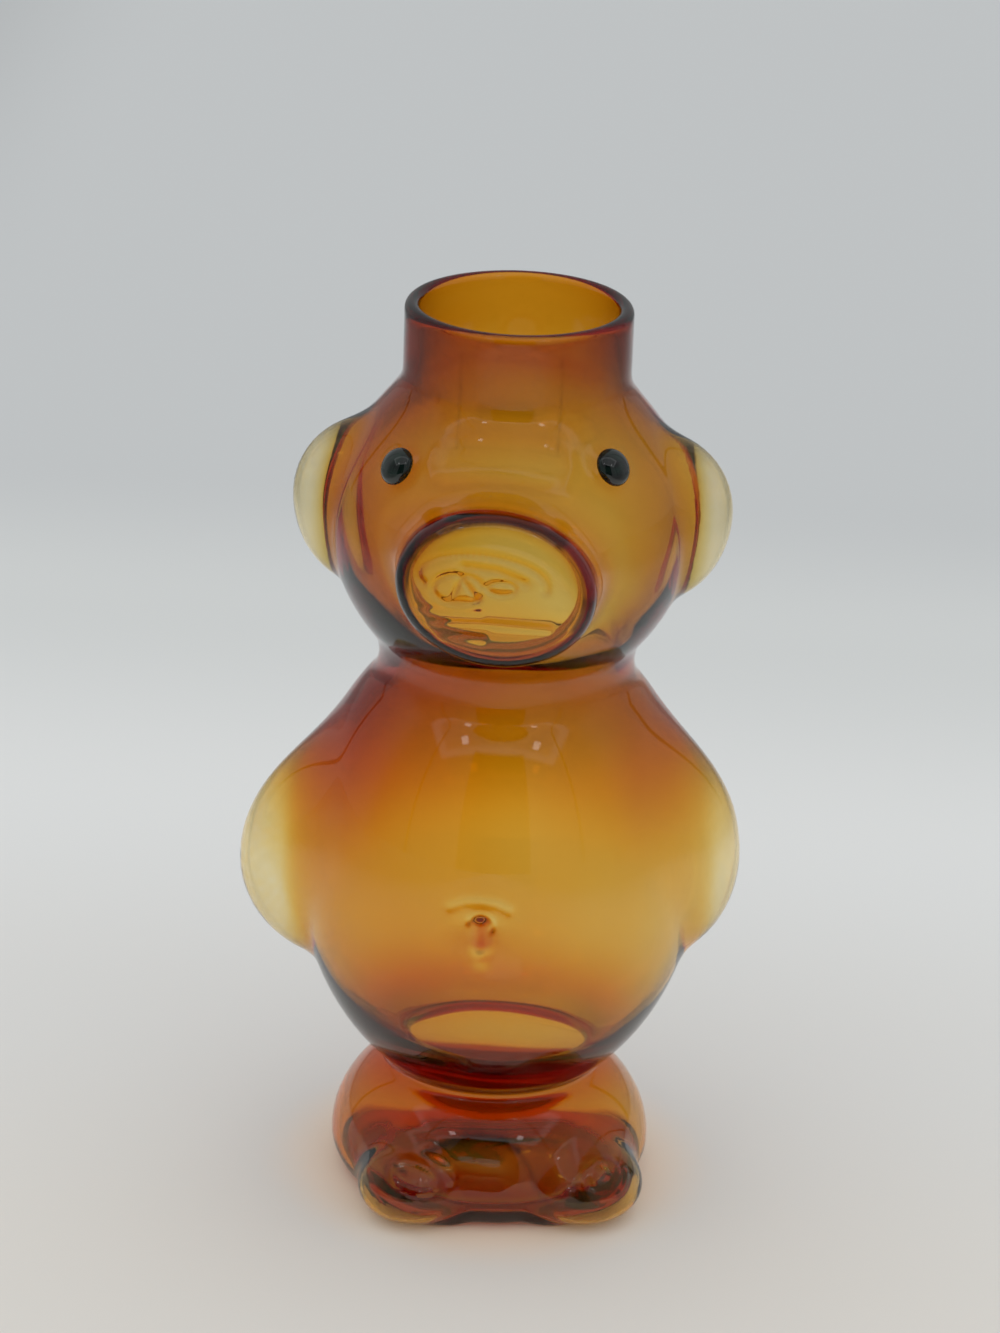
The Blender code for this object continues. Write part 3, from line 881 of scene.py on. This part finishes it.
def glass_material():
    """Amber glass, which takes its colour from how thick it is, with a tinted skin and painted shade along
    the folds.

    Its gloss varies a little, as a handled glass's does, and slow waves bend what is seen through it.
    """
    made, nodes, place = material("amber glass")
    painted_shade = nodes.add("Attribute", attribute_name="painted_shade").outputs["Fac"]
    surface = nodes.shader("BsdfPrincipled", {
        # painted shade: the base colour turns nearly black along the painted shade lines
        "Base Color": nodes.scaled(body_tint(nodes, place), nodes.slope(painted_shade, 0.0, 1.0, 1.0, PAINTED_SHADE_CLEARNESS)),
        "Roughness": nodes.slope(nodes.noise(place, scale=60.0, detail=4.0), 0.45, 0.75, 0.0, 0.02),
        "IOR": GLASS_IOR,
        "Transmission Weight": 1.0,
        "Normal": nodes.bump(nodes.noise(place, scale=26.0, detail=1.0), strength=0.5, distance=0.2 * MM),
    })
    volume = nodes.shader("VolumeAbsorption", {"Color": GLASS_COLOUR, "Density": GLASS_DENSITY})
    output = nodes.add("OutputMaterial")
    nodes.feed(output.inputs["Surface"], surface)
    nodes.feed(output.inputs["Volume"], volume)
    return made


def black_glass_material():
    """Opaque black glass with a green cast, drawn smooth by the flame."""
    made, nodes, place = material("black glass")
    cloud = nodes.noise(place, scale=420.0, detail=3.0)
    stops = ((0.35, (0.002, 0.003, 0.003, 1.0)), (0.8, (0.006, 0.02, 0.014, 1.0)))
    surface = nodes.shader("BsdfPrincipled", {
        "Base Color": nodes.ramp(cloud, stops, "LINEAR"),
        "Roughness": nodes.slope(cloud, 0.3, 0.7, 0.02, 0.07),
        "IOR": 1.52,
        "Coat Weight": 0.6,
        "Coat Roughness": 0.02,
        "Normal": nodes.bump(cloud, strength=0.3, distance=0.05 * MM),
    })
    nodes.feed(nodes.add("OutputMaterial").inputs["Surface"], surface)
    return made


def build_glass():
    """The whole fused wall, in place of every node but the eyes."""
    glass = grid_mesh("glass_vessel", glass_grid())
    refine(glass, OUTER_ROWS * SIDES, finer_spots())
    glass.data.materials.append(glass_material())
    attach(glass, "root")
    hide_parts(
        "base", "torso", "head", "neck", "snout", "ear_left", "ear_right",
        "arm_left", "arm_right", "foot_left", "foot_right", "belly_button",
    )


def build_eye(node, spot, made):
    """A bead of black glass melted on: a full dome over a narrow foot, a little taller than wide."""
    point, slope = landed(outer_distance, np.array([spot]), 6)
    out = Vector(slope[0]).normalized()
    right = Vector((0.0, 0.0, 1.0)).cross(out).normalized()
    up = out.cross(right)
    half_width, dome, half_height = EYE_SIZES
    turns = np.arange(EYE_SIDES) * 2 * np.pi / EYE_SIDES
    rings = []
    for angle in np.radians(np.linspace(*EYE_ANGLES, EYE_RINGS)):
        foot_share = EYE_FOOT_SHARE + (1.0 - EYE_FOOT_SHARE) * np.cos(angle)
        width = np.cos(angle) * (1.0 if angle > 0.0 else foot_share)
        rings.append(np.column_stack((
            half_width * width * np.cos(turns),
            half_height * width * np.sin(turns),
            np.full(EYE_SIDES, dome * np.sin(angle)),
        )))
    eye = grid_mesh(node + "_bead", point + np.array(rings) @ np.array((right, up, out)))
    work = bmesh.new()
    work.from_mesh(eye.data)
    bmesh.ops.recalc_face_normals(work, faces=work.faces)
    work.to_mesh(eye.data)
    work.free()
    eye.data.shade_smooth()
    eye.data.materials.append(made)
    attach(eye, "root")
    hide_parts(node)


# Studio floor, in metres: its colour, with painted light falloff from near to far and painted shade to
# the sides and towards the camera, and a painted pool of the warm light the glass throws round its foot
FLOOR_SIZE = 6.0
FLOOR_DROP = 0.0002
FLOOR_DEPTH = (-0.1, 0.9)
FLOOR_COLOURS_WITH_PAINTED_FALLOFF = (
    (0.04, (0.70, 0.68, 0.64, 1.0)),
    (0.16, (0.68, 0.68, 0.665, 1.0)),
    (0.27, (0.70, 0.71, 0.705, 1.0)),
    (0.41, (0.60, 0.615, 0.61, 1.0)),
    (0.52, (0.53, 0.545, 0.55, 1.0)),
)
FLOOR_SIDE_SHADE_EDGES = (0.2, 0.45)
FLOOR_SIDE_SHADE_SHARE = 0.5
FLOOR_NEAR_SHADE_EDGES = (-0.5, -0.12)
FLOOR_NEAR_SHADE_SHARE = 0.75
PAINTED_GLOW_RADII = (0.028, 0.05)
PAINTED_GLOW_COLOUR = (1.25, 1.06, 0.88, 1.0)


def floor_material():
    """Painted light on a pale sheet: a little warmer and darker close by, brightest behind the glass, grey
    far back.
    """
    made, nodes, place = material("studio floor")
    x, y, _ = nodes.split(place)
    colour = nodes.ramp(nodes.slope(y, *FLOOR_DEPTH, 0.0, 1.0), FLOOR_COLOURS_WITH_PAINTED_FALLOFF)
    # painted shade: the floor is dimmed to the sides and towards the camera
    aside = nodes.slope(nodes.maths("ABSOLUTE", x), *FLOOR_SIDE_SHADE_EDGES, 1.0, FLOOR_SIDE_SHADE_SHARE, smooth=True)
    ahead = nodes.slope(y, *FLOOR_NEAR_SHADE_EDGES, FLOOR_NEAR_SHADE_SHARE, 1.0, smooth=True)
    dimmed = nodes.scaled(colour, nodes.times(aside, ahead))
    # painted warm glow: the light that the glass would throw round its foot
    under = nodes.slope(nodes.vectors("LENGTH", place), *PAINTED_GLOW_RADII, 1.0, 0.0, smooth=True)
    surface = nodes.shader("BsdfPrincipled", {
        "Base Color": nodes.vectors("MULTIPLY", dimmed, nodes.mix(under, WHITE, PAINTED_GLOW_COLOUR)),
        "Roughness": 0.9,
        "Specular IOR Level": 0.05,
    })
    nodes.feed(nodes.add("OutputMaterial").inputs["Surface"], surface)
    return made


def build_floor():
    """A wide sheet just under the glass."""
    mesh = bpy.data.meshes.new("studio_floor")
    corners = [(-FLOOR_SIZE, -FLOOR_SIZE, 0), (FLOOR_SIZE, -FLOOR_SIZE, 0)]
    corners += [(FLOOR_SIZE, FLOOR_SIZE, 0), (-FLOOR_SIZE, FLOOR_SIZE, 0)]
    mesh.from_pydata(corners, [], [(0, 1, 2, 3)])
    floor = bpy.data.objects.new("studio_floor", mesh)
    bpy.context.collection.objects.link(floor)
    mesh.materials.append(floor_material())
    floor.location.z = -FLOOR_DROP


# Light tent, guessed from what the glass mirrors: its brightness, and what its parts add or take away
TENT_COLOUR = (0.985, 0.995, 1.0, 1.0)
TENT_LEVEL = 0.38
FRONT_LOSS = 0.14
LEFT_FRONT_LOSS = 0.06
ROOF_GAIN = 0.55
ROOF_MIDDLE_LOSS = 0.6
LAMP_GAIN = 3.0
HATCH_LOSS = 0.9
OPENING_LOSS = 0.93
SEAM_LOSS = 0.8
CAMERA_LEVEL = 0.5

# Oblongs on the tent's roof: from side to side, from near to far ahead, both for each step up, and
# how soft their edges are
ROOF = ((-0.97, 0.9), (0.08, 0.98), 0.1)
ROOF_MIDDLE = ((-0.83, 0.76), (0.22, 0.86), 0.1)
HATCH = ((-0.37, 0.38), (1.02, 1.3), 0.03)
LAMPS = (((-0.54, -0.44), (0.7, 0.82), 0.02), ((0.46, 0.56), (0.7, 0.82), 0.02))

# Stretches of the tent's wall in degrees, from straight ahead of the bear round towards +X: where
# they start and end, and how soft their edges are. The opening's top is given the same way
FRONT = (-80.0, 80.0, 25.0)
LEFT_FRONT = (-80.0, 0.0, 12.0)
OPENING = (-21.0, 21.0, 1.5)
OPENING_TOP = (45.0, 3.0)
SEAMS = ((-52.6, -51.0, 0.6), (51.0, 52.6, 0.6), (128.0, 131.0, 0.8), (-120.0, -118.0, 0.8))


def tent_level(nodes, x, y, z):
    """How bright the tent looks in a direction: dimmer ahead, with a bright frame on its roof."""
    forwards = nodes.times(y, -1.0)
    azimuth = nodes.maths("ARCTAN2", x, forwards)
    elevation = nodes.maths("ARCSINE", z)
    height = nodes.maths("MAXIMUM", z, 0.01)
    ahead = nodes.maths("DIVIDE", forwards, height)
    aside = nodes.maths("DIVIDE", x, height)

    def between(value, low, high, soft):
        """1 between two values, with soft edges."""
        rise = nodes.slope(value, low - soft / 2, low + soft / 2, 0.0, 1.0, smooth=True)
        fall = nodes.slope(value, high - soft / 2, high + soft / 2, 1.0, 0.0, smooth=True)
        return nodes.times(rise, fall)

    def stretch(*degrees):
        """1 on a stretch of the wall."""
        return between(azimuth, *np.radians(degrees).tolist())

    def oblong(sides, reach, soft):
        """1 on an oblong on the roof."""
        return nodes.times(between(aside, *sides, soft), between(ahead, *reach, soft))

    def dimmed(value, where, loss):
        """A value that loses a share in a place."""
        return nodes.times(value, nodes.rest(nodes.times(where, loss)))

    level = nodes.maths("SUBTRACT", TENT_LEVEL, nodes.times(stretch(*FRONT), FRONT_LOSS))
    level = nodes.maths("SUBTRACT", level, nodes.times(stretch(*LEFT_FRONT), LEFT_FRONT_LOSS))
    middle = nodes.times(oblong(*ROOF_MIDDLE), ROOF_MIDDLE_LOSS)
    roof = nodes.maths("SUBTRACT", oblong(*ROOF), middle)
    level = nodes.maths("ADD", level, nodes.times(roof, ROOF_GAIN))
    level = dimmed(level, oblong(*HATCH), HATCH_LOSS)
    for lamp in LAMPS:
        level = nodes.maths("ADD", level, nodes.times(oblong(*lamp), LAMP_GAIN))
    top, soft = np.radians(OPENING_TOP).tolist()
    below = nodes.slope(elevation, top - soft / 2, top + soft / 2, 1.0, 0.0, smooth=True)
    level = dimmed(level, nodes.times(stretch(*OPENING), below), OPENING_LOSS)
    seams = stretch(*SEAMS[0])
    for seam in SEAMS[1:]:
        seams = nodes.maths("ADD", seams, stretch(*seam))
    return dimmed(level, seams, SEAM_LOSS)


def build_world():
    """A white light tent, whose pattern shows only in and through the glass.

    It lights the scene evenly, and the camera itself sees plain grey past the floor.
    """
    world = bpy.data.worlds.new("studio")
    world.use_nodes = True
    bpy.context.scene.world = world
    nodes = Nodes(world.node_tree)
    x, y, z = nodes.split(nodes.add("TexCoord").outputs["Generated"])
    rays = nodes.add("LightPath").outputs
    direct = rays["Is Camera Ray"]
    seen = nodes.maths("MAXIMUM", direct, rays["Is Glossy Ray"])
    seen = nodes.maths("MAXIMUM", seen, rays["Is Transmission Ray"])
    seen = nodes.times(seen, nodes.maths("LESS_THAN", rays["Diffuse Depth"], 0.5))
    level = nodes.maths("ADD", nodes.times(tent_level(nodes, x, y, z), seen), nodes.rest(seen))
    plain = nodes.times(direct, CAMERA_LEVEL)
    level = nodes.maths("ADD", nodes.times(level, nodes.rest(direct)), plain)
    light = nodes.shader("Background", {"Color": TENT_COLOUR, "Strength": level})
    nodes.feed(nodes.add("OutputWorld").inputs["Surface"], light)


# The photograph's camera, found from the object's outline. The point that it aims at and its
# distance are in metres, and its angles in degrees
IMAGE = (1000.0, 1333.0)
AIM = Vector((0.0, 0.0, 0.095))
AIM_PIXEL = (503.34, 745.73)
DISTANCE = 0.9165
AZIMUTH = 3.3
ELEVATION = 23.13
ROLL = 2.137
FOCAL_PIXELS = 4473.0
SENSOR_WIDTH = 36.0
NEAREST = 0.01
FURTHEST = 50.0


def build_camera():
    """The camera stands where the photograph was taken, and aims so that the object lands on its pixels."""
    azimuth, elevation, roll = np.radians((AZIMUTH, ELEVATION, ROLL))
    away = Vector((
        np.sin(azimuth) * np.cos(elevation),
        -np.cos(azimuth) * np.cos(elevation),
        np.sin(elevation),
    ))
    right = Vector((np.cos(azimuth), np.sin(azimuth), 0.0))
    up = away.cross(right)
    tilted_right = right * np.cos(roll) + up * np.sin(roll)
    tilted_up = up * np.cos(roll) - right * np.sin(roll)
    down_by = AIM_PIXEL[1] - IMAGE[1] / 2
    right_by = AIM_PIXEL[0] - IMAGE[0] / 2
    ahead = (-away * FOCAL_PIXELS + tilted_up * down_by - tilted_right * right_by).normalized()
    side = (tilted_right - ahead * tilted_right.dot(ahead)).normalized()
    top = side.cross(ahead)
    data = bpy.data.cameras.new("camera")
    data.lens_unit = "MILLIMETERS"
    data.sensor_fit = "AUTO"
    data.sensor_width = SENSOR_WIDTH
    data.lens = SENSOR_WIDTH * FOCAL_PIXELS / IMAGE[1]
    data.clip_start = NEAREST
    data.clip_end = FURTHEST
    camera = bpy.data.objects.new("camera", data)
    bpy.context.collection.objects.link(camera)
    place = Matrix((side, top, -ahead)).transposed().to_4x4()
    place.translation = AIM + away * DISTANCE
    camera.matrix_world = place
    bpy.context.scene.camera = camera


def main():
    """The studio, then the glass and its two eyes."""
    scene = bpy.context.scene
    scene.view_settings.view_transform = "Standard"
    scene.cycles.max_bounces = 24
    scene.cycles.transmission_bounces = 24
    scene.cycles.glossy_bounces = 12
    build_camera()
    build_world()
    build_floor()
    build_glass()
    black = black_glass_material()
    for node, spot in EYES.items():
        build_eye(node, spot, black)


main()
